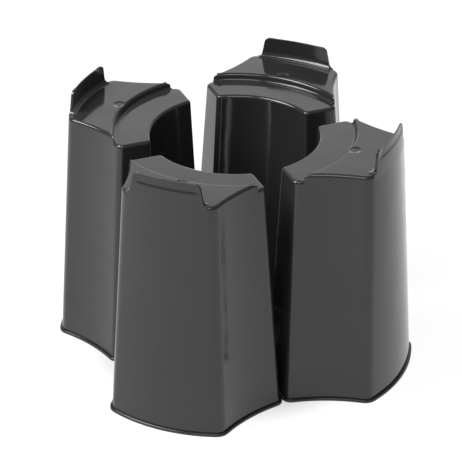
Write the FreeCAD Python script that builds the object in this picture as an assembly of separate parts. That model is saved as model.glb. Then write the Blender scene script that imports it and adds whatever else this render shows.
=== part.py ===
"""Stand for a garden water butt: four separate hollow risers in a ring.

The four risers are one moulding used four times.  Each is open underneath and drafted on every wall, with a
foot flange round its base, a lower ledge inside, a higher deck outside and a retaining tab on its outer edge.
The barrel stands on the decks, inside the tabs.

Millimetres, +Z up.  The origin is on the floor at the middle of the ring.  A riser is drawn pointing along +X
(out = +X, sideways = +Y) and then turned to its place in the ring.
"""
import FreeCAD, Part
import math
import os

from FreeCAD import Vector

# Heights above the floor
LEDGE_HEIGHT = 299.0
DECK_HEIGHT = 308.0
TAB_HEIGHT = 27.5          # deck to the top of the tab

# Plan of the outer walls, as (at the floor, at the deck): the difference is the mould's draft
WELL_RADIUS = (99.2, 105.3)       # concave inner wall, about the middle of the ring
END_GAP = (3.3, 18.4)             # end wall, from the diagonal between two risers
WAIST_REACH = (165.3, 145.1)      # corner of end wall and side wall, along that diagonal
CORNER_OUT = (214.3, 201.4)       # outer corner, outwards
CORNER_SIDE = (75.6, 61.4)        # outer corner, sideways
FRONT_REACH = (229.9, 209.7)      # middle of the bowed front wall
SIDE_HOLLOW = (6.4, 4.6)          # depth of the hollow in the side wall

# Radii of the upright corners and of the top edges
CORNER_ROUND = 14.0
WAIST_ROUND = 9.0
WELL_ROUND = 6.5
RIM_ROUND = 4.0
STEP_CORNER_ROUND = 5.5    # upright ends of the step, rounder than the rim that runs over them

# Step between ledge and deck
STEP_RADIUS = 150.8

# Retaining tab
TAB_THICKNESS = 2.8
TAB_FOOT_HALF = 48.0       # half width where it leaves the deck
TAB_TOP_HALF = 42.6        # half width at the top, before rounding
TAB_CORNER_ROUND = 7.0
TAB_FOOT_ROUND = 8.0       # fillet between tab and deck, inside

# Moulded details
WALL = 3.0
FLANGE_OUT = 3.0           # foot flange beyond the wall
FLANGE_THICK = 3.4
FLANGE_ROUND = 1.4
DISH_SET_IN = 7.7          # gate dish, from the step towards the tab
DISH_DIAMETER = 18.0
DISH_DEPTH = 0.9
GATE_DIAMETER = 3.0
GATE_HEIGHT = 0.6

# The ring: each riser's name and the way it points
RISERS = {"front_riser": -90.0, "right_riser": 0.0, "rear_riser": 90.0, "left_riser": 180.0}

TAB_TOP = DECK_HEIGHT + TAB_HEIGHT
DIAGONAL = Vector(math.sqrt(0.5), math.sqrt(0.5), 0)
OFF_DIAGONAL = Vector(math.sqrt(0.5), -math.sqrt(0.5), 0)
CENTRE = Vector(0, 0, 0)
UP = Vector(0, 0, 1)
OVERRUN = 5.0                     # how far a cutting tool runs past what it cuts
ROOT = 2 * RIM_ROUND              # how far the deck block and the tab reach into what they stand on
EVERYTHING = 2 * FRONT_REACH[0]   # a radius that takes in a whole riser
TAB_SWEEP = 90.0                  # degrees of the front wall's circle, more than the tab needs
TOUCH = 0.01                      # places nearer than this are the same


def at_height(pair, z):
    """Value of a drafted dimension at height z."""
    foot, deck = pair
    return foot + (deck - foot) * z / DECK_HEIGHT


def mirrored(point):
    """The same point on the other side of the riser's centre line."""
    return Vector(point.x, -point.y, point.z)


def circle_through(first, middle, last):
    """Centre and radius of the circle through three points."""
    circle = Part.Circle(first, middle, last)
    return circle.Center, circle.Radius


def meet_circles(centre_a, radius_a, centre_b, radius_b, near):
    """Where two circles meet, at the crossing nearer to a point."""
    across = centre_b - centre_a
    distance = across.Length
    along = (radius_a**2 - radius_b**2 + distance**2) / (2 * distance)
    height = math.sqrt(radius_a**2 - along**2)
    foot = centre_a + across * (along / distance)
    offset = Vector(-across.y, across.x, 0) * (height / distance)
    return min((foot + offset, foot - offset), key=lambda p: (p - near).Length)


def meet_diagonal(centre, radius, gap, near):
    """Where a circle meets the line a gap away from the diagonal, nearer to a point."""
    start = OFF_DIAGONAL * gap
    middle = start + DIAGONAL * (centre - start).dot(DIAGONAL)
    half = math.sqrt(radius**2 - (centre - middle).Length ** 2)
    return min((middle + DIAGONAL * half, middle - DIAGONAL * half), key=lambda p: (p - near).Length)


def on_circle(centre, radius, towards):
    """The point of a circle nearest to another point."""
    return centre + (towards - centre).normalize() * radius


def rounded(first, last, centre, radius):
    """The three points of a small corner arc about a centre."""
    return first, on_circle(centre, radius, (first + last) * 0.5), last


def outline(z, inset=0.0):
    """Closed plan of a riser at height z, set in from the outer walls (negative: set out)."""
    waist = DIAGONAL * at_height(WAIST_REACH, z) + OFF_DIAGONAL * at_height(END_GAP, z)
    corner = Vector(at_height(CORNER_OUT, z), at_height(CORNER_SIDE, z), 0)
    front_centre, front = circle_through(mirrored(corner), Vector(at_height(FRONT_REACH, z), 0, 0), corner)
    inwards = Vector(corner.y - waist.y, waist.x - corner.x, 0).normalize()
    side_middle = (corner + waist) * 0.5 + inwards * at_height(SIDE_HOLLOW, z)
    side_centre, side = circle_through(waist, side_middle, corner)

    # the four walls, set in
    front -= inset
    side += inset
    gap = at_height(END_GAP, z) + inset
    well = at_height(WELL_RADIUS, z) + inset

    # the three upright corners between them
    turn = CORNER_ROUND - inset
    centre = meet_circles(front_centre, front - turn, side_centre, side + turn, corner)
    front_end = on_circle(front_centre, front, centre)
    corner_arc = rounded(front_end, on_circle(side_centre, side, centre), centre, turn)
    turn = WAIST_ROUND - inset
    centre = meet_diagonal(side_centre, side + turn, gap + turn, waist)
    waist_arc = rounded(on_circle(side_centre, side, centre), centre - OFF_DIAGONAL * turn, centre, turn)
    turn = WELL_ROUND - inset
    centre = meet_diagonal(CENTRE, well + turn, gap + turn, DIAGONAL * well)
    well_arc = rounded(centre - OFF_DIAGONAL * turn, on_circle(CENTRE, well, centre), centre, turn)

    side_bow = on_circle(side_centre, side, (corner_arc[2] + waist_arc[0]) * 0.5)
    side_run = (corner_arc[2], side_bow, waist_arc[0])
    end_run = (waist_arc[2], well_arc[0])
    half = [corner_arc, side_run, waist_arc, end_run, well_arc]
    other_half = [[mirrored(point) for point in reversed(run)] for run in reversed(half)]
    well_run = (well_arc[2], Vector(well, 0, 0), mirrored(well_arc[2]))
    front_run = (mirrored(corner_arc[0]), front_centre + Vector(front, 0, 0), corner_arc[0])
    runs = [front_run] + half + [well_run] + other_half
    wire = Part.Wire([edge_through(run) for run in runs])
    wire.translate(Vector(0, 0, z))
    return wire


def edge_through(points):
    """Straight edge through two points, or arc through three."""
    if len(points) == 2:
        return Part.LineSegment(*points).toShape()
    return Part.Arc(*points).toShape()


def drafted(bottom, top, inset=0.0):
    """Solid between two heights with the riser's drafted walls, set in by inset."""
    return Part.makeLoft([outline(bottom, inset), outline(top, inset)], True, True)


def disc(radius, bottom, top):
    """Cylinder about the middle of the ring, between two heights."""
    return Part.makeCylinder(radius, top - bottom, Vector(0, 0, bottom))


def edges_at_height(shape, z):
    """The edges of a shape that lie flat at a height."""
    return [e for e in shape.Edges if abs(e.BoundBox.ZMin - z) < TOUCH and abs(e.BoundBox.ZMax - z) < TOUCH]


def lower_block(body):
    """The riser up to its ledge, solid, with a rounded rim."""
    block = body.common(disc(EVERYTHING, 0, LEDGE_HEIGHT))
    return block.makeFillet(RIM_ROUND, edges_at_height(block, LEDGE_HEIGHT))


def is_step_end(edge):
    """Whether an edge is one of the step's two upright ends."""
    return edge.BoundBox.ZLength > TOUCH and all(
        abs(math.hypot(vertex.X, vertex.Y) - STEP_RADIUS) < TOUCH for vertex in edge.Vertexes
    )


def deck_block(body):
    """The raised outer part, solid: rounded rim and rounded ends to the step."""
    slab = disc(EVERYTHING, LEDGE_HEIGHT - ROOT, DECK_HEIGHT)
    block = body.common(slab.cut(disc(STEP_RADIUS, 0, DECK_HEIGHT + OVERRUN)))
    block = block.makeFillet(STEP_CORNER_ROUND, [edge for edge in block.Edges if is_step_end(edge)])
    return block.makeFillet(RIM_ROUND, edges_at_height(block, DECK_HEIGHT))


def tab_strip(centre, radius):
    """A strip round the front wall's circle with the tab's section: foot fillet, inner face and flat top."""
    face = radius - TAB_THICKNESS
    toe = face - TAB_FOOT_ROUND
    back = radius + OVERRUN
    root = DECK_HEIGHT - ROOT
    fillet_top = DECK_HEIGHT + TAB_FOOT_ROUND
    fillet_bow = TAB_FOOT_ROUND * math.sqrt(0.5)
    lean = (FRONT_REACH[0] - FRONT_REACH[1]) / DECK_HEIGHT
    top = face - lean * (TAB_TOP - fillet_top)
    points = [
        Vector(out, 0, z)
        for out, z in [
            (toe, root), (toe, DECK_HEIGHT), (toe + fillet_bow, fillet_top - fillet_bow), (face, fillet_top),
            (top, TAB_TOP), (back, TAB_TOP), (back, root), (toe, root),
        ]
    ]
    fillet = points[1:4]
    runs = [points[0:2], fillet, points[3:5], points[4:6], points[5:7], points[6:8]]
    strip = Part.Face(Part.Wire([edge_through(run) for run in runs])).revolve(CENTRE, UP, TAB_SWEEP)
    strip.rotate(CENTRE, UP, -TAB_SWEEP / 2)
    strip.translate(centre)
    return strip


def tab_prism():
    """The tab's front view, slanted at its ends and rounded at its top corners, from the ring's middle out."""
    root = DECK_HEIGHT - ROOT
    slant = (TAB_FOOT_HALF - TAB_TOP_HALF) / TAB_HEIGHT
    half = TAB_FOOT_HALF + slant * ROOT
    corners = [(-half, root), (-TAB_TOP_HALF, TAB_TOP), (TAB_TOP_HALF, TAB_TOP), (half, root), (-half, root)]
    view = Part.makePolygon([Vector(0, side, z) for side, z in corners])
    prism = Part.Face(view).extrude(Vector(FRONT_REACH[0] + OVERRUN, 0, 0))
    top_corners = [
        edge for edge in prism.Edges
        if edge.BoundBox.XLength > TOUCH and abs(edge.BoundBox.ZMax - TAB_TOP) < TOUCH
    ]
    return prism.makeFillet(TAB_CORNER_ROUND, top_corners)


def tab(body):
    """The retaining tab: flush with the front wall, filleted to the deck inside, rounded at its corners."""
    corner = Vector(at_height(CORNER_OUT, DECK_HEIGHT), at_height(CORNER_SIDE, DECK_HEIGHT), 0)
    front = Vector(at_height(FRONT_REACH, DECK_HEIGHT), 0, 0)
    centre, radius = circle_through(mirrored(corner), front, corner)
    return tab_strip(centre, radius).common(tab_prism()).common(body)


def hollow():
    """The space inside the riser, open at the floor, a wall thickness inside every face."""
    under_ledge = LEDGE_HEIGHT - WALL
    under_deck = DECK_HEIGHT - WALL
    space = drafted(0, under_deck, WALL)
    return space.cut(disc(STEP_RADIUS + WALL, under_ledge, under_deck + OVERRUN))


def foot_flange():
    """The outward lip round the base, with a rounded edge; the riser fills its middle, hollow and all."""
    lip = Part.makeLoft([outline(0, -FLANGE_OUT), outline(FLANGE_THICK, -FLANGE_OUT)], True, True)
    return lip.makeFillet(FLANGE_ROUND, edges_at_height(lip, 0) + edges_at_height(lip, FLANGE_THICK))


def gate_dish():
    """The shallow round dish in the deck around the moulding gate, and the gate's stub."""
    ball = (DISH_DIAMETER**2 / 4 + DISH_DEPTH**2) / (2 * DISH_DEPTH)
    place = Vector(STEP_RADIUS + DISH_SET_IN, 0, DECK_HEIGHT - DISH_DEPTH)
    dish = Part.makeSphere(ball, place + UP * ball)
    stub = Part.makeCylinder(GATE_DIAMETER / 2, GATE_HEIGHT + WALL / 2, place - UP * WALL / 2)
    return dish, stub


def riser():
    """One riser, pointing along +X."""
    body = drafted(0, TAB_TOP)
    dish, stub = gate_dish()
    block = lower_block(body).fuse(deck_block(body))
    block = block.fuse(tab(body)).fuse(foot_flange())
    return block.cut(dish).fuse(stub).cut(hollow()).removeSplitter()


def main():
    """Write the four risers, each turned to its place in the ring."""
    os.makedirs("parts", exist_ok=True)
    moulding = riser()
    for name, heading in RISERS.items():
        placed = moulding.copy()
        placed.rotate(CENTRE, UP, heading)
        placed.exportStep("parts/" + name + ".step")


main()
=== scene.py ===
"""Looks of a garden water-butt stand: four glossy black moulded risers standing in a ring.

Each riser is one injection moulding in polypropylene: drafted hollow walls on a foot flange, a lower ledge
inside, a higher deck outside and a retaining tab on the deck's outer edge.  The risers are drawn in
millimetres, pointing along +X, then turned to their places in the ring and scaled to metres.
"""
from __future__ import annotations

import logging
import math
from dataclasses import dataclass, replace
from enum import Enum
from typing import Iterable

import bmesh
import bpy
from bmesh.types import BMEdge, BMesh, BMVert
from mathutils import Matrix, Vector

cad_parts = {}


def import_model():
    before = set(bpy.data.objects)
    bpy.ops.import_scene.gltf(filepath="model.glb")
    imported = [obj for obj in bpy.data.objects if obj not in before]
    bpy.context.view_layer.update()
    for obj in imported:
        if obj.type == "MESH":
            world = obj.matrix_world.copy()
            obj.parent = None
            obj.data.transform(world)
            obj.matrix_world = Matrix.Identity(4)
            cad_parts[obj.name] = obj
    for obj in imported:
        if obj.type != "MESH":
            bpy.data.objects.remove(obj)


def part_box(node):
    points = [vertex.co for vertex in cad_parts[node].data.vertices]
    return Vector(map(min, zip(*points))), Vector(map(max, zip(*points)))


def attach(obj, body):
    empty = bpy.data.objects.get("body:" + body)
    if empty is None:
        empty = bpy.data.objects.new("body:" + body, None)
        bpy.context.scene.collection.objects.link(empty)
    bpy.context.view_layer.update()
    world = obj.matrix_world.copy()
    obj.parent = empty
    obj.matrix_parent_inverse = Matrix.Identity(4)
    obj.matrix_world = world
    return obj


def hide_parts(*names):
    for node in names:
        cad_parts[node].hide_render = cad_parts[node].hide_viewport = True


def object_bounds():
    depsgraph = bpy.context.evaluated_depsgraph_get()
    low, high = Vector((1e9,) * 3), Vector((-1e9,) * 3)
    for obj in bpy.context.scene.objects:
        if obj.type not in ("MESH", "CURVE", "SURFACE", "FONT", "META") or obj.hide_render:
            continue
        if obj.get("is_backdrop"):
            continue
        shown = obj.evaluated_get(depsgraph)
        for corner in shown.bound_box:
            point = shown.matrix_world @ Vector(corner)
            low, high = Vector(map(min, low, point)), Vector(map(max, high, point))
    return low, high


LOG = logging.getLogger("water_butt_stand")
MM = 0.001
UP = Vector((0, 0, 1))
DIAGONAL = Vector((1, 1, 0)).normalized()
OFF_DIAGONAL = Vector((1, -1, 0)).normalized()


class Place(Enum):
    """Where each riser stands in the ring: its name and the way it points, in degrees from +X."""

    FRONT = ("front_riser", -90.0)
    RIGHT = ("right_riser", 0.0)
    REAR = ("rear_riser", 90.0)
    LEFT = ("left_riser", 180.0)


@dataclass(frozen=True)
class Draft:
    """A plan dimension in mm that changes evenly with height, as the mould's draft needs."""

    foot: float
    deck: float


@dataclass(frozen=True)
class Steps:
    """How finely each run of the outline and each fillet is divided."""

    front_side: int = 4
    tab: int = 32
    corner: int = 8
    side_outer: int = 10
    side_inner: int = 1
    waist: int = 6
    end: int = 3
    well_corner: int = 5
    well: int = 48
    fillet: int = 6
    rim: int = 6
    soft_edge: int = 3


@dataclass(frozen=True)
class RiserShape:
    """Sizes of one riser in millimetres, drawn pointing along +X with the ring's middle at the origin."""

    deck_height: float = 308.0
    tab_height: float = 27.5
    step_height: float = 9.0
    step_radius: float = 150.8
    well_radius: Draft = Draft(99.2, 105.3)
    end_gap: Draft = Draft(3.3, 18.4)
    waist_reach: Draft = Draft(165.3, 145.1)
    front_reach: Draft = Draft(229.9, 209.7)
    front_bow: Draft = Draft(15.6, 8.3)
    corner_side: Draft = Draft(75.6, 61.4)
    side_hollow: Draft = Draft(6.4, 4.6)
    corner_round: float = 14.0
    waist_round: float = 9.0
    well_round: float = 6.5
    rim_round: float = 4.0
    wall: float = 3.0
    flange_out: float = 3.0
    flange_thick: float = 3.4
    flange_round: float = 1.4
    tab_thickness: float = 2.8
    tab_foot_half: float = 48.0
    tab_top_half: float = 42.6
    tab_corner_round: float = 7.0
    tab_foot_round: float = 8.0
    dish_set_in: float = 7.7
    dish_radius: float = 9.0
    dish_depth: float = 0.9
    gate_radius: float = 1.5
    gate_height: float = 0.6
    steps: Steps = Steps()

    @classmethod
    def from_box(cls, low: Vector, high: Vector) -> RiserShape:
        """Takes the height and the reach from a riser that points along +X.

        Args:
            low: the lowest corner of its box, in metres.
            high: the highest corner.

        Returns:
            The shape, with the deck below the tab's top and the walls inside the flange.
        """
        shape = cls()
        reach = Draft(high.x / MM - shape.flange_out, shape.front_reach.deck)
        return replace(shape, deck_height=(high.z - low.z) / MM - shape.tab_height, front_reach=reach)

    @property
    def ledge_height(self) -> float:
        """Height of the lower, inner step."""
        return self.deck_height - self.step_height

    def at(self, size: Draft, z: float) -> float:
        """Value of a drafted size at height z."""
        return size.foot + (size.deck - size.foot) * z / self.deck_height


def mirrored(point: Vector) -> Vector:
    """The same point on the other side of the riser's centre line."""
    return Vector((point.x, -point.y, point.z))


def eased(part: float) -> float:
    """A part between 0 and 1, made to start and end gently."""
    return part * part * (3 - 2 * part)


def centre_of_arc(first: Vector, middle: Vector, last: Vector) -> Vector:
    """Finds the circle through three points of a plan.

    Args:
        first: one end of the arc.
        middle: the arc's point halfway between the ends.
        last: the other end.

    Returns:
        The circle's centre.
    """
    chord = last - first
    bow = middle - (first + last) / 2
    radius = (chord.length_squared / 4 + bow.length_squared) / (2 * bow.length)
    return middle - bow.normalized() * radius


def meet_circles(
    first: Vector, first_radius: float, last: Vector, last_radius: float, near: Vector
) -> Vector:
    """Finds where two circles meet.

    Args:
        first: the centre of one circle.
        first_radius: its radius.
        last: the centre of the other.
        last_radius: its radius.
        near: a point that chooses between the two crossings.

    Returns:
        The crossing nearer to that point.
    """
    across = last - first
    along = (first_radius**2 - last_radius**2 + across.length_squared) / (2 * across.length)
    height = math.sqrt(first_radius**2 - along**2)
    foot = first + across.normalized() * along
    offset = Vector((-across.y, across.x, 0)).normalized() * height
    return min((foot + offset, foot - offset), key=lambda point: (point - near).length)


def meet_diagonal(centre: Vector, radius: float, gap: float, near: Vector) -> Vector:
    """Finds where a circle meets the line along the end of a riser, beside the ring's diagonal.

    Args:
        centre: the circle's centre.
        radius: its radius.
        gap: how far the line lies from the diagonal.
        near: a point that chooses between the two crossings.

    Returns:
        The crossing nearer to that point.
    """
    start = OFF_DIAGONAL * gap
    middle = start + DIAGONAL * (centre - start).dot(DIAGONAL)
    half = DIAGONAL * math.sqrt(radius**2 - (centre - middle).length_squared)
    return min((middle + half, middle - half), key=lambda point: (point - near).length)


def towards(centre: Vector, radius: float, point: Vector) -> Vector:
    """The point of a circle nearest to another point."""
    return centre + (point - centre).normalized() * radius


def along_arc(centre: Vector, first: Vector, last: Vector, part: float) -> Vector:
    """A point part of the way along the shorter arc between two points."""
    turn = (first - centre).xy.angle_signed((last - centre).xy)
    return centre + Matrix.Rotation(-turn * part, 3, "Z") @ (first - centre)


class Plan:
    """The plan of a riser at one height: its four kinds of wall and the rounded corners between them."""

    def __init__(self, shape: RiserShape, z: float, inset: float = 0.0) -> None:
        """Works out the walls' circles and where the corner arcs touch them.

        Args:
            shape: the riser's sizes.
            z: the height.
            inset: how far the plan lies inside the outer walls, negative for outside.
        """
        self.shape = shape
        self.z = z
        waist = DIAGONAL * shape.at(shape.waist_reach, z) + OFF_DIAGONAL * shape.at(shape.end_gap, z)
        reach = shape.at(shape.front_reach, z)
        corner = Vector((reach - shape.at(shape.front_bow, z), shape.at(shape.corner_side, z), 0))
        self.front_centre = centre_of_arc(mirrored(corner), Vector((reach, 0, 0)), corner)
        inwards = Vector((corner.y - waist.y, waist.x - corner.x, 0)).normalized()
        side_middle = (corner + waist) / 2 + inwards * shape.at(shape.side_hollow, z)
        self.side_centre = centre_of_arc(waist, side_middle, corner)

        self.front_radius = reach - self.front_centre.x - inset
        self.side_radius = (corner - self.side_centre).length + inset
        self.well_radius = shape.at(shape.well_radius, z) + inset
        gap = shape.at(shape.end_gap, z) + inset

        turn = shape.corner_round - inset
        self.corner_centre = meet_circles(
            self.front_centre, self.front_radius - turn, self.side_centre, self.side_radius + turn, corner
        )
        self.corner_first = towards(self.front_centre, self.front_radius, self.corner_centre)
        self.corner_last = towards(self.side_centre, self.side_radius, self.corner_centre)
        turn = shape.waist_round - inset
        self.waist_centre = meet_diagonal(self.side_centre, self.side_radius + turn, gap + turn, waist)
        self.waist_first = towards(self.side_centre, self.side_radius, self.waist_centre)
        self.waist_last = self.waist_centre - OFF_DIAGONAL * turn
        turn = shape.well_round - inset
        middle = Vector((0, 0, 0))
        near = DIAGONAL * self.well_radius
        self.well_centre = meet_diagonal(middle, self.well_radius + turn, gap + turn, near)
        self.well_first = self.well_centre - OFF_DIAGONAL * turn
        self.well_last = towards(middle, self.well_radius, self.well_centre)

    def side_part(self, radius: float) -> float:
        """Finds where a circle about the ring's middle crosses the side wall.

        Args:
            radius: the circle's radius.

        Returns:
            How much of the wall lies between its outer corner and the crossing.
        """
        middle = Vector((0, 0, 0))
        crossing = meet_circles(middle, radius, self.side_centre, self.side_radius, self.waist_first)
        whole = (self.corner_last - self.side_centre).angle(self.waist_first - self.side_centre)
        return (self.corner_last - self.side_centre).angle(crossing - self.side_centre) / whole

    def tab_part(self) -> float:
        """How much of the front wall's half width the tab's foot takes."""
        corner = math.asin(self.corner_first.y / self.front_radius)
        return math.asin(self.shape.tab_foot_half / self.front_radius) / corner

    def outline(self, side_part: float, tab_part: float) -> list[Vector]:
        """Points round the plan, anticlockwise from the front wall's right-hand end.

        Args:
            side_part: where along each side wall the step ends.
            tab_part: where along each half of the front wall the tab ends.

        Returns:
            The points at this height, one for each column of the riser's walls.
        """
        steps = self.shape.steps
        middle = Vector((0, 0, 0))
        front = self.front_centre + Vector((self.front_radius, 0, 0))
        tab_end = along_arc(self.front_centre, front, self.corner_first, tab_part)
        step_end = along_arc(self.side_centre, self.corner_last, self.waist_first, side_part)
        half = [
            (self.front_centre, tab_end, self.corner_first, steps.front_side),
            (self.corner_centre, self.corner_first, self.corner_last, steps.corner),
            (self.side_centre, self.corner_last, step_end, steps.side_outer),
            (self.side_centre, step_end, self.waist_first, steps.side_inner),
            (self.waist_centre, self.waist_first, self.waist_last, steps.waist),
            (None, self.waist_last, self.well_first, steps.end),
            (self.well_centre, self.well_first, self.well_last, steps.well_corner),
        ]
        other_half = [
            (centre and mirrored(centre), mirrored(last), mirrored(first), count)
            for centre, first, last, count in reversed(half)
        ]
        well = (middle, self.well_last, mirrored(self.well_last), steps.well)
        tab = (self.front_centre, mirrored(tab_end), tab_end, steps.tab)
        points = []
        for centre, first, last, count in [*half, well, *other_half, tab]:
            for step in range(count):
                part = step / count
                point = first.lerp(last, part) if centre is None else along_arc(centre, first, last, part)
                points.append(point + UP * self.z)
        return points


@dataclass(frozen=True)
class TabRow:
    """One level of the tab: its height, its half width and how far in its outer and inner faces lie."""

    z: float
    half: float
    step_in: float
    offset: float


def edges_along(mesh: BMesh, row: list[BMVert], closed: bool = False) -> list[BMEdge]:
    """The edges that join a row of vertices, made where they are missing.

    Args:
        mesh: the mesh.
        row: the vertices in order.
        closed: whether the last vertex joins the first.

    Returns:
        The edges in order.
    """
    following = row[1:] + row[:1] if closed else row[1:]
    return [mesh.edges.get(pair) or mesh.edges.new(pair) for pair in zip(row, following)]


def copies_of(row: list[BMVert], made: Iterable[object]) -> list[BMVert]:
    """The extruded copy of each vertex of a row, found along the edge that joins the two."""
    fresh = {item for item in made if isinstance(item, BMVert)}
    return [next(e.other_vert(v) for e in v.link_edges if e.other_vert(v) in fresh) for v in row]


def place_row(row: list[BMVert], points: list[Vector]) -> None:
    """Puts each vertex of a row on its point."""
    for vert, point in zip(row, points, strict=True):
        vert.co = point


def extrude_row(mesh: BMesh, row: list[BMVert], points: list[Vector], closed: bool) -> list[BMVert]:
    """Extrudes a row of vertices with its edges.

    Args:
        mesh: the mesh.
        row: the vertices in order.
        points: where the new vertices go.
        closed: whether the row is a ring.

    Returns:
        The new row, in the same order.
    """
    made = bmesh.ops.extrude_edge_only(mesh, edges=edges_along(mesh, row, closed))["geom"]
    fresh = copies_of(row, made)
    place_row(fresh, points)
    return fresh


def spin_chain(mesh: BMesh, first: BMVert, last: BMVert, turn: float, divisions: int) -> list[BMVert]:
    """Joins two vertices by an arc about the middle of the ring.

    Args:
        mesh: the mesh.
        first: the vertex that is spun.
        last: the vertex where the arc ends.
        turn: the arc's angle in radians.
        divisions: how many edges it has.

    Returns:
        All the arc's vertices in order.
    """
    bmesh.ops.spin(mesh, geom=[first], cent=(0, 0, 0), axis=UP, angle=turn, steps=divisions)
    chain = [first]
    for _ in range(divisions):
        end = chain[-1]
        ahead = [edge.other_vert(end) for edge in end.link_edges if edge.is_wire]
        chain.append(next(vert for vert in ahead if vert not in chain))
    bmesh.ops.weld_verts(mesh, targetmap={chain.pop(): last})
    return [*chain, last]


def fill(mesh: BMesh, loop: list[BMVert]) -> None:
    """Closes a loop of vertices with one flat face."""
    bmesh.ops.edgeloop_fill(mesh, edges=edges_along(mesh, loop, closed=True))


def new_object(name: str, mesh: BMesh) -> bpy.types.Object:
    """Makes an object in the scene from a bmesh, which is freed.

    Args:
        name: the object's name.
        mesh: its shape.

    Returns:
        The object.
    """
    data = bpy.data.meshes.new(name)
    mesh.to_mesh(data)
    mesh.free()
    made = bpy.data.objects.new(name, data)
    bpy.context.scene.collection.objects.link(made)
    return made


def combine(body: BMesh, tool: BMesh, operation: str) -> BMesh:
    """Joins two closed meshes or cuts one with the other; both are freed.

    Args:
        body: the mesh that is changed.
        tool: the mesh added to it or cut from it.
        operation: the kind of boolean, "UNION" or "DIFFERENCE".

    Returns:
        The result.
    """
    blank, cutter = new_object("blank", body), new_object("tool", tool)
    boolean = blank.modifiers.new("boolean", "BOOLEAN")
    boolean.object = cutter
    boolean.operation = operation
    boolean.solver = "EXACT"
    bpy.context.view_layer.update()
    result = bmesh.new()
    result.from_object(blank, bpy.context.evaluated_depsgraph_get())
    for item in (blank, cutter):
        bpy.data.meshes.remove(item.data)
    return result


def round_edges(
    mesh: BMesh, edges: list[BMEdge], radius: float, segments: int, clamp: bool = True
) -> None:
    """Rounds edges with a fillet.

    Args:
        mesh: the mesh.
        edges: the edges to round.
        radius: the fillet's radius.
        segments: how many faces it has across.
        clamp: whether the fillet is held back where edges are short.
    """
    bmesh.ops.bevel(
        mesh,
        geom=edges,
        offset=radius,
        offset_type="OFFSET",
        affect="EDGES",
        segments=segments,
        profile=0.5,
        material=-1,
        clamp_overlap=clamp,
    )


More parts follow.
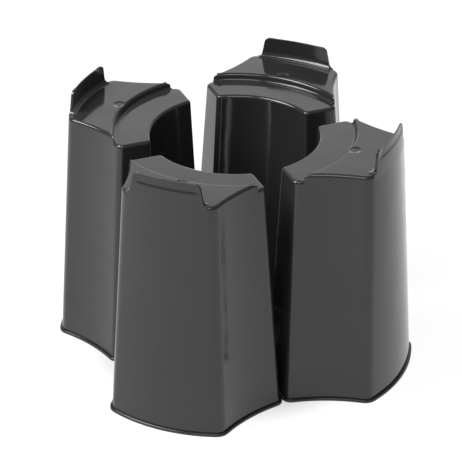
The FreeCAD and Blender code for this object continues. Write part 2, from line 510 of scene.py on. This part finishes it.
@dataclass
class Riser:
    """One hollow riser of the stand: its walls, its stepped top, its tab and its moulding marks.

    Lengths are in millimetres and angles in radians.
    """

    shape: RiserShape
    place: Place
    step_divisions: int = 24
    # The gate dish, a bowl round a low stub. Its rings lie at these parts of its radius.
    dish_divisions: int = 40
    dish_rings: tuple[float, ...] = (0.93, 0.86, 0.79, 0.72, 0.65, 0.58, 0.5)
    dish_slope: float = 0.5
    dish_edge: float = 0.02
    dish_clearance: float = 3.0
    stub_shoulder: float = 0.7
    stub_taper: float = 0.96
    stub_crown: float = 0.7
    # The shoulder across the tab's outer face, where the face steps in.
    tab_shoulder_depth: float = 1.1
    tab_shoulder_below_top: float = 11.5
    tab_shoulder_height: float = 4.0
    tab_shoulder_end: float = 11.0
    # The tab's flared foot, its softened edges and the root that joins it to the wall and the deck.
    tab_flare: float = 4.5
    tab_soft_edge: float = 0.7
    tab_edge_angle: float = 0.9
    tab_edge_start: float = 0.1
    tab_root: float = 5.0
    tab_root_step: float = 1.5
    tab_root_thickness: float = 2.0
    tab_proud: float = 0.02
    sharp_angle: float = math.radians(38)

    @property
    def name(self) -> str:
        """The riser's node and body name."""
        return self.place.value[0]

    def columns(self) -> tuple[int, int]:
        """Finds the two columns of the walls where the step ends.

        Returns:
            Their places in a ring, the right-hand one first as the ring runs.
        """
        steps = self.shape.steps
        first = steps.front_side + steps.corner + steps.side_outer
        whole = 2 * (first + steps.side_inner + steps.waist + steps.end + steps.well_corner) + steps.well
        return first, whole - first

    def ring(self, z: float, inset: float) -> list[Vector]:
        """Finds the points round the riser at one height.

        Args:
            z: the height.
            inset: how far inside the outer walls they lie, negative for outside.

        Returns:
            One point for each column of the walls.
        """
        shape = self.shape
        # Outside the walls the step's circle would miss the side, so the flange keeps the wall's columns.
        inner = max(inset, 0)
        top = Plan(shape, max(z, shape.ledge_height), inner)
        step_part = top.side_part(shape.step_radius + inner)
        return Plan(shape, z, inset).outline(step_part, Plan(shape, shape.deck_height).tab_part())

    def stepped_top(self, mesh: BMesh, ring: list[BMVert], inset: float) -> list[BMEdge]:
        """Closes the ledge, raises the step and the walls behind it, and closes the deck.

        Args:
            mesh: the riser's mesh.
            ring: the skin's top ring at the ledge.
            inset: how far inside the outside surfaces the skin lies.

        Returns:
            The edges to round: along the foot and the top of the step, round the ledge, at the step's ends
            and round the deck.
        """
        first, last = self.columns()
        outer = ring[last:] + ring[: first + 1]
        radius = self.shape.step_radius + inset
        start = outer[0].co.xy
        turn = 2 * abs(math.atan2(start.y, start.x))
        foot = spin_chain(mesh, outer[0], outer[-1], turn, self.step_divisions)
        fill(mesh, [*ring[first:last], *foot[:-1]])

        deck = self.shape.deck_height - inset
        points = self.ring(deck, inset)
        loop = [*outer, *reversed(foot[1:-1])]
        arc = [vert.co.xy.to_3d().normalized() * radius + UP * deck for vert in foot[1:-1]]
        targets = [*points[last:], *points[: first + 1], *reversed(arc)]
        risen = extrude_row(mesh, loop, targets, closed=True)
        walls = risen[: len(outer)]
        step = [walls[0], *reversed(risen[len(outer) :]), walls[-1]]
        fill(mesh, [*walls, *reversed(step[1:-1])])

        rims = edges_along(mesh, foot) + edges_along(mesh, step)
        rims += edges_along(mesh, ring[first : last + 1])
        rims += [mesh.edges.get(pair) for pair in ((outer[0], walls[0]), (outer[-1], walls[-1]))]
        return rims + edges_along(mesh, walls)

    def flare(self, height: float) -> float:
        """How far the tab's ends sweep out into the rim of the deck at a height above it."""
        above = max(self.tab_flare - height, 0)
        return self.tab_flare - math.sqrt(self.tab_flare**2 - above**2)

    def tab_rows(self) -> list[TabRow]:
        """Works out the tab's levels.

        Returns:
            The levels up the foot fillet, across the shoulder and round the top corners, lowest first.
        """
        shape = self.shape
        slant = math.atan2(shape.tab_foot_half - shape.tab_top_half, shape.tab_height)
        levels = []
        for step in range(1, shape.steps.fillet + 1):
            turn = math.radians(90) * step / shape.steps.fillet
            offset = shape.tab_thickness + shape.tab_foot_round * (1 - math.sin(turn))
            levels.append((shape.tab_foot_round * (1 - math.cos(turn)), offset))
        shoulder = shape.tab_height - self.tab_shoulder_below_top
        for part in (-0.5, -0.25, 0, 0.25, 0.5):
            levels.append((shoulder + self.tab_shoulder_height * part, shape.tab_thickness))
        rows = []
        for height, offset in levels:
            rise = min(max((height - shoulder) / self.tab_shoulder_height + 0.5, 0), 1)
            half = shape.tab_foot_half - height * math.tan(slant) + self.flare(height)
            depth = self.tab_shoulder_depth * eased(rise)
            rows.append(TabRow(shape.deck_height + height, half, depth, offset))
        centre = shape.tab_height - shape.tab_corner_round
        middle = shape.tab_foot_half - centre * math.tan(slant) - shape.tab_corner_round / math.cos(slant)
        for step in range(shape.steps.fillet + 1):
            turn = slant + (math.radians(90) - slant) * step / shape.steps.fillet
            height = centre + shape.tab_corner_round * math.sin(turn)
            half = middle + shape.tab_corner_round * math.cos(turn)
            z = shape.deck_height + height
            rows.append(TabRow(z, half, self.tab_shoulder_depth, shape.tab_thickness))
        return rows

    def tab_points(self, row: TabRow, inner: bool) -> list[Vector]:
        """Finds the points across the tab at one level.

        Args:
            row: the level.
            inner: whether they lie on the inner face.

        Returns:
            One point for each column of the tab, from right to left.
        """
        plan = Plan(self.shape, row.z)
        count = self.shape.steps.tab
        points = []
        for step in range(count + 1):
            y = row.half * (2 * step / count - 1)
            from_end = min((row.half - abs(y)) / self.tab_shoulder_end, 1)
            step_in = row.step_in * eased(from_end)
            radius = plan.front_radius - (row.offset if inner else step_in)
            points.append(Vector((plan.front_centre.x + math.sqrt(radius**2 - y**2), y, row.z)))
        return points

    def tab(self) -> BMesh:
        """Builds the tab with its foot fillet and a root that reaches down into the wall and the deck.

        Returns:
            The tab's closed mesh, whose root stands a hair proud of the wall so that the two join cleanly.
        """
        shape = self.shape
        toe = shape.tab_thickness + shape.tab_foot_round
        roots = [
            (-self.tab_root, self.tab_root_thickness),
            (-self.tab_root_step, self.tab_root_thickness),
            (-self.tab_root_step, toe),
            (0, toe),
        ]
        half = shape.tab_foot_half + self.tab_flare
        rows = [TabRow(shape.deck_height + z, half, -self.tab_proud, offset) for z, offset in roots]
        mesh = bmesh.new()
        across = self.tab_points(rows[0], inner=False)
        outer = [mesh.verts.new(point) for point in across]
        made = bmesh.ops.extrude_edge_only(mesh, edges=edges_along(mesh, outer))["geom"]
        inner = copies_of(outer, made)
        place_row(inner, self.tab_points(rows[0], inner=True))
        strip = [item for item in made if isinstance(item, bmesh.types.BMFace)]
        # The first strip stays as the tab's underside; each later one only carries the tab up a level.
        base = True
        for row in [*rows[1:], *self.tab_rows()]:
            made = bmesh.ops.extrude_face_region(mesh, geom=strip, use_keep_orig=base)["geom"]
            if not base:
                bmesh.ops.delete(mesh, geom=[face for face in strip if face.is_valid], context="FACES")
            base = False
            strip = [item for item in made if isinstance(item, bmesh.types.BMFace)]
            outer = copies_of(outer, made)
            inner = copies_of(inner, made)
            place_row(outer, self.tab_points(row, inner=False))
            place_row(inner, self.tab_points(row, inner=True))
        bmesh.ops.recalc_face_normals(mesh, faces=mesh.faces)
        start = shape.deck_height + self.tab_edge_start
        edges = [
            edge
            for edge in mesh.edges
            if max(vert.co.z for vert in edge.verts) > start and edge.calc_face_angle() > self.tab_edge_angle
        ]
        round_edges(mesh, edges, self.tab_soft_edge, shape.steps.soft_edge)
        return mesh

    def dish_plug(self) -> BMesh:
        """Builds the plug that cuts the round gate dish.

        Returns:
            The plug's closed mesh, with a hollow in its underside that leaves the gate's stub.
        """
        shape = self.shape
        centre = Vector((shape.step_radius + shape.dish_set_in, 0, shape.deck_height))
        mesh = bmesh.new()
        made = bmesh.ops.create_circle(
            mesh, cap_ends=True, radius=shape.dish_radius, segments=self.dish_divisions
        )
        ring = made["verts"]
        directions = [vert.co.normalized() for vert in ring]
        levels = [(shape.dish_radius, -self.dish_edge)]
        for part in (*self.dish_rings, shape.gate_radius / shape.dish_radius):
            fall = eased(min((1 - part) / self.dish_slope, 1))
            levels.append((shape.dish_radius * part, -shape.dish_depth * fall))
        foot = levels[-1][1]
        levels.append((shape.gate_radius * self.stub_taper, foot + shape.gate_height * self.stub_shoulder))
        levels.append((shape.gate_radius * self.stub_crown, foot + shape.gate_height))
        place_row(ring, [centre + way * shape.dish_radius + UP * self.dish_clearance for way in directions])
        for radius, height in levels:
            points = [centre + way * radius + UP * height for way in directions]
            ring = extrude_row(mesh, ring, points, closed=True)
        fill(mesh, ring)
        bmesh.ops.recalc_face_normals(mesh, faces=mesh.faces)
        return mesh

    def build_mesh(self) -> BMesh:
        """Builds the riser pointing along +X.

        Returns:
            The riser's closed shell in millimetres.
        """
        shape = self.shape
        mesh = bmesh.new()
        lines = self.ring(0, -shape.flange_out)
        bottom = bmesh.ops.create_circle(mesh, cap_ends=False, radius=1, segments=len(lines))["verts"]
        place_row(bottom, lines)
        flange = extrude_row(mesh, bottom, self.ring(shape.flange_thick, -shape.flange_out), closed=True)
        wall_foot = extrude_row(mesh, flange, self.ring(shape.flange_thick, 0), closed=True)
        ledge = extrude_row(mesh, wall_foot, self.ring(shape.ledge_height, 0), closed=True)
        rims = self.stepped_top(mesh, ledge, 0)

        mouth = extrude_row(mesh, bottom, self.ring(0, shape.wall), closed=True)
        ceiling = self.ring(shape.ledge_height - shape.wall, shape.wall)
        under_ledge = extrude_row(mesh, mouth, ceiling, closed=True)
        self.stepped_top(mesh, under_ledge, shape.wall)

        bmesh.ops.recalc_face_normals(mesh, faces=mesh.faces)
        round_edges(mesh, rims, shape.rim_round, shape.steps.rim, clamp=False)
        lip = edges_along(mesh, flange, closed=True)
        round_edges(mesh, lip, shape.flange_round, shape.steps.soft_edge)
        mesh = combine(combine(mesh, self.tab(), "UNION"), self.dish_plug(), "DIFFERENCE")
        for edge in mesh.edges:
            edge.smooth = edge.calc_face_angle() < self.sharp_angle
        for face in mesh.faces:
            face.smooth = True
        return mesh

    def build(self, finish: bpy.types.Material) -> bpy.types.Object:
        """Makes the riser's object, turned to its place in the ring.

        Args:
            finish: the riser's material.

        Returns:
            The object, riding on its own body.
        """
        mesh = self.build_mesh()
        turn = Matrix.Rotation(math.radians(self.place.value[1]), 4, "Z")
        bmesh.ops.transform(mesh, matrix=Matrix.Scale(MM, 4) @ turn, verts=mesh.verts)
        riser = new_object(f"{self.name}_shell", mesh)
        riser.data.materials.append(finish)
        weighted = riser.modifiers.new("weighted_normals", "WEIGHTED_NORMAL")
        weighted.keep_sharp = True
        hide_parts(self.name)
        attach(riser, self.name)
        LOG.info("%s: %d faces", riser.name, len(riser.data.polygons))
        return riser


def linear(colour: str) -> tuple[float, float, float, float]:
    """Turns an sRGB hex colour to linear.

    Args:
        colour: the colour, such as #2a2b2c.

    Returns:
        Its linear red, green and blue, and a full alpha.
    """
    parts = [int(colour[start : start + 2], 16) / 255 for start in (1, 3, 5)]
    red, green, blue = (
        part / 12.92 if part <= 0.04045 else ((part + 0.055) / 1.055) ** 2.4 for part in parts
    )
    return red, green, blue, 1.0


def add_node(
    tree: bpy.types.NodeTree, kind: str, settings: dict | None = None, links: dict | None = None
) -> bpy.types.Node:
    """Adds one node.

    Args:
        tree: the node tree.
        kind: the node's type.
        settings: sockets, by name or number, with their values, and property names with theirs.
        links: sockets, by name or number, with the outputs that feed them.

    Returns:
        The node.
    """
    node = tree.nodes.new(kind)
    for name, value in (settings or {}).items():
        if isinstance(name, int) or name in node.inputs:
            node.inputs[name].default_value = value
        else:
            setattr(node, name, value)
    for name, output in (links or {}).items():
        tree.links.new(output, node.inputs[name])
    return node


@dataclass(frozen=True)
class Wave:
    """A waviness of the skin: how wide and how deep it is in mm, and how many finer octaves it carries."""

    size: float
    depth: float
    detail: float

    def noise(self, tree: bpy.types.NodeTree, place: bpy.types.NodeSocket) -> bpy.types.Node:
        """A noise whose patches are as wide as the wave."""
        settings = {"Scale": 1 / (self.size * MM), "Detail": self.detail, "Roughness": 0.5}
        return add_node(tree, "ShaderNodeTexNoise", settings, {"Vector": place})


@dataclass(frozen=True)
class BlackPolypropylene:
    """Black polypropylene, injection moulded in a polished steel mould.

    Carbon black colours it right through, so it shows no depth and hardly any hue, only a nearly even dark
    grey. The polished mould leaves a gloss that mirrors lights with slightly soft edges.
    """

    colour: str = "#29292a"
    worn_colour: str = "#2e2e2f"
    index: float = 1.5
    roughness: float = 0.1
    roughness_spread: float = 0.04
    # The middle range of a noise, over which the gloss changes.
    noise_low: float = 0.3
    noise_high: float = 0.7
    # Broad sink marks where the cooling walls drew in, some 55 mm across.
    sink: Wave = Wave(size=55.0, depth=0.5, detail=1.0)
    # Waves left by the flow of the melt, some 14 mm across.
    flow: Wave = Wave(size=14.0, depth=0.06, detail=2.0)
    # The mould's polish, really finer than 0.1 mm, drawn at 1.1 mm so that it shows.
    polish: Wave = Wave(size=1.1, depth=0.006, detail=2.0)

    def build(self) -> bpy.types.Material:
        """Makes the material: sink marks, flow waves and a fine polish, with small changes of gloss.

        Returns:
            The material.
        """
        material = bpy.data.materials.new("moulded_black_polypropylene")
        material.use_nodes = True
        tree = material.node_tree
        tree.nodes.clear()
        place = add_node(tree, "ShaderNodeTexCoord").outputs["Object"]
        waves = (self.sink, self.flow, self.polish)
        sink, flow, polish = (wave.noise(tree, place) for wave in waves)
        gloss = add_node(
            tree,
            "ShaderNodeMapRange",
            {
                "From Min": self.noise_low,
                "From Max": self.noise_high,
                "To Min": self.roughness - self.roughness_spread / 2,
                "To Max": self.roughness + self.roughness_spread / 2,
            },
            {"Value": flow.outputs["Fac"]},
        )
        tint = add_node(
            tree,
            "ShaderNodeMix",
            {"data_type": "RGBA", 6: linear(self.colour), 7: linear(self.worn_colour)},
            {0: sink.outputs["Fac"]},
        )
        bump = None
        for wave, noise in zip(waves, (sink, flow, polish)):
            links = {"Height": noise.outputs["Fac"]}
            if bump is not None:
                links["Normal"] = bump.outputs["Normal"]
            bump = add_node(tree, "ShaderNodeBump", {"Strength": 1.0, "Distance": wave.depth * MM}, links)
        shader = add_node(
            tree,
            "ShaderNodeBsdfPrincipled",
            {"IOR": self.index},
            {
                "Base Color": tint.outputs[2],
                "Roughness": gloss.outputs["Result"],
                "Normal": bump.outputs["Normal"],
            },
        )
        add_node(tree, "ShaderNodeOutputMaterial", links={"Surface": shader.outputs["BSDF"]})
        return material


@dataclass(frozen=True)
class Softbox:
    """A rectangular soft light aimed at the stand: watts, angles in degrees, then metres."""

    name: str
    power: float
    azimuth: float
    elevation: float
    away: float
    width: float
    height: float


@dataclass(frozen=True)
class Studio:
    """A pale floor and two softboxes in a room that is bright behind the stand and dim on the camera's side.

    Lengths are in metres, the lens in millimetres and angles in degrees.
    """

    floor_radius: float = 5.0
    floor_divisions: int = 96
    floor_drop: float = 0.0002
    floor_colour: str = "#6c6c6c"
    floor_glow: float = 0.93
    # The floor's glow is off within the first radius and full beyond the second, which paints shade on the
    # floor under the stand.
    painted_shade_radius: float = 0.09
    painted_shade_fade_radius: float = 0.2
    white: str = "#ffffff"
    # Pairs of place and brightness, from straight behind the stand (-1) to straight behind the camera (1).
    room: tuple[tuple[float, float], ...] = (
        (-1.0, 1.6),
        (-0.87, 0.98),
        (-0.76, 0.55),
        (-0.6, 0.28),
        (-0.3, 0.2),
        (1.0, 0.2),
    )
    key: Softbox = Softbox(
        "key_softbox", power=40.0, azimuth=-55.0, elevation=54.0, away=2.0, width=0.9, height=1.2
    )
    top: Softbox = Softbox(
        "top_softbox", power=12.0, azimuth=15.0, elevation=60.0, away=2.4, width=1.0, height=0.9
    )
    azimuth: float = 23.2
    elevation: float = 29.55
    distance: float = 2.908
    lens: float = 178.9
    clip_end: float = 100.0
    aim_offset: tuple[float, float, float] = (0.0, -0.012, -0.001)

    def direction(self, azimuth: float, elevation: float) -> Vector:
        """The way from the stand towards a place round it, from angles in degrees."""
        turn, lift = math.radians(azimuth), math.radians(elevation)
        return Vector((math.sin(turn) * math.cos(lift), -math.cos(turn) * math.cos(lift), math.sin(lift)))

    def lay_floor(self) -> None:
        """Lays the floor, a table of opal acrylic lit from below, whose glow fades out under the stand as
        painted shade.
        """
        mesh = bmesh.new()
        bmesh.ops.create_circle(mesh, cap_ends=True, radius=self.floor_radius, segments=self.floor_divisions)
        bmesh.ops.translate(mesh, vec=UP * -self.floor_drop, verts=mesh.verts)
        floor = new_object("floor", mesh)
        # Opal acrylic with a matt face scatters all light, so it takes a faint shadow and mirrors nothing.
        material = bpy.data.materials.new("opal_light_table_with_painted_shade")
        material.use_nodes = True
        tree = material.node_tree
        tree.nodes.clear()
        place = add_node(tree, "ShaderNodeTexCoord").outputs["Object"]
        away = add_node(tree, "ShaderNodeVectorMath", {"operation": "LENGTH"}, {0: place})
        # Painted shade: the glow is zero under the stand's middle and grows to full strength away from it.
        glow_less_painted_shade = add_node(
            tree,
            "ShaderNodeMapRange",
            {"From Min": self.painted_shade_radius, "From Max": self.painted_shade_fade_radius, "To Max": self.floor_glow},
            {"Value": away.outputs["Value"]},
        )
        diffuse = add_node(tree, "ShaderNodeBsdfDiffuse", {"Color": linear(self.floor_colour)})
        glow = add_node(
            tree,
            "ShaderNodeEmission",
            {"Color": linear(self.white)},
            {"Strength": glow_less_painted_shade.outputs["Result"]},
        )
        both = add_node(tree, "ShaderNodeAddShader")
        tree.links.new(diffuse.outputs["BSDF"], both.inputs[0])
        tree.links.new(glow.outputs["Emission"], both.inputs[1])
        add_node(tree, "ShaderNodeOutputMaterial", links={"Surface": both.outputs["Shader"]})
        floor.data.materials.append(material)
        floor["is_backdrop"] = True
        LOG.info("floor laid")

    def light(self) -> None:
        """Lights the stand with the room and two softboxes; the camera sees a plain white backdrop."""
        world = bpy.data.worlds.new("white_surround")
        world.use_nodes = True
        tree = world.node_tree
        tree.nodes.clear()
        way = add_node(tree, "ShaderNodeTexCoord").outputs["Generated"]
        forward = self.direction(self.azimuth, 0)
        facing = add_node(tree, "ShaderNodeVectorMath", {"operation": "DOT_PRODUCT", 1: forward}, {0: way})
        part = add_node(tree, "ShaderNodeMapRange", {"From Min": -1.0}, {"Value": facing.outputs["Value"]})
        ramp = add_node(tree, "ShaderNodeValToRGB", links={"Fac": part.outputs["Result"]})
        peak = max(light for _, light in self.room)
        stops = ramp.color_ramp.elements
        while len(stops) < len(self.room):
            stops.new(0.5)
        for stop, (position, light) in zip(stops, self.room):
            stop.position = (position + 1) / 2
            stop.color = (light / peak,) * 3 + (1.0,)
        room = add_node(tree, "ShaderNodeBackground", {"Strength": peak}, {"Color": ramp.outputs["Color"]})
        backdrop = add_node(tree, "ShaderNodeBackground", {"Color": linear(self.white), "Strength": 1.0})
        seen = add_node(tree, "ShaderNodeLightPath").outputs["Is Camera Ray"]
        surround = add_node(tree, "ShaderNodeMixShader", links={0: seen})
        tree.links.new(room.outputs["Background"], surround.inputs[1])
        tree.links.new(backdrop.outputs["Background"], surround.inputs[2])
        add_node(tree, "ShaderNodeOutputWorld", links={"Surface": surround.outputs["Shader"]})
        bpy.context.scene.world = world
        for box in (self.key, self.top):
            softbox = bpy.data.lights.new(box.name, "AREA")
            softbox.shape = "RECTANGLE"
            softbox.size, softbox.size_y = box.width, box.height
            softbox.energy = box.power
            lamp = bpy.data.objects.new(box.name, softbox)
            lamp.location = self.direction(box.azimuth, box.elevation) * box.away
            lamp.rotation_mode = "QUATERNION"
            lamp.rotation_quaternion = (-lamp.location).to_track_quat("-Z", "Y")
            bpy.context.scene.collection.objects.link(lamp)
        LOG.info("studio lit")

    def set_camera(self, low: Vector, high: Vector) -> None:
        """Places the camera.

        Args:
            low: the lowest corner of the stand.
            high: the highest corner.
        """
        aim = (low + high) / 2 + Vector(self.aim_offset)
        data = bpy.data.cameras.new("camera")
        data.lens = self.lens
        data.clip_end = self.clip_end
        camera = bpy.data.objects.new("camera", data)
        towards_camera = self.direction(self.azimuth, self.elevation)
        camera.location = aim + towards_camera * self.distance
        camera.rotation_mode = "QUATERNION"
        camera.rotation_quaternion = (-towards_camera).to_track_quat("-Z", "Y")
        bpy.context.scene.collection.objects.link(camera)
        bpy.context.scene.camera = camera
        bpy.context.scene.view_settings.view_transform = "Standard"
        LOG.info("camera placed")


def main() -> None:
    """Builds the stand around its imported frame."""
    logging.basicConfig(level=logging.INFO, format="%(name)s: %(message)s")
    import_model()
    low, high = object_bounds()
    studio = Studio()
    studio.set_camera(low, high)
    studio.lay_floor()
    studio.light()

    shape = RiserShape.from_box(*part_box(Place.RIGHT.value[0]))
    finish = BlackPolypropylene().build()
    for place in Place:
        Riser(shape, place).build(finish)


if __name__ == "__main__":
    main()
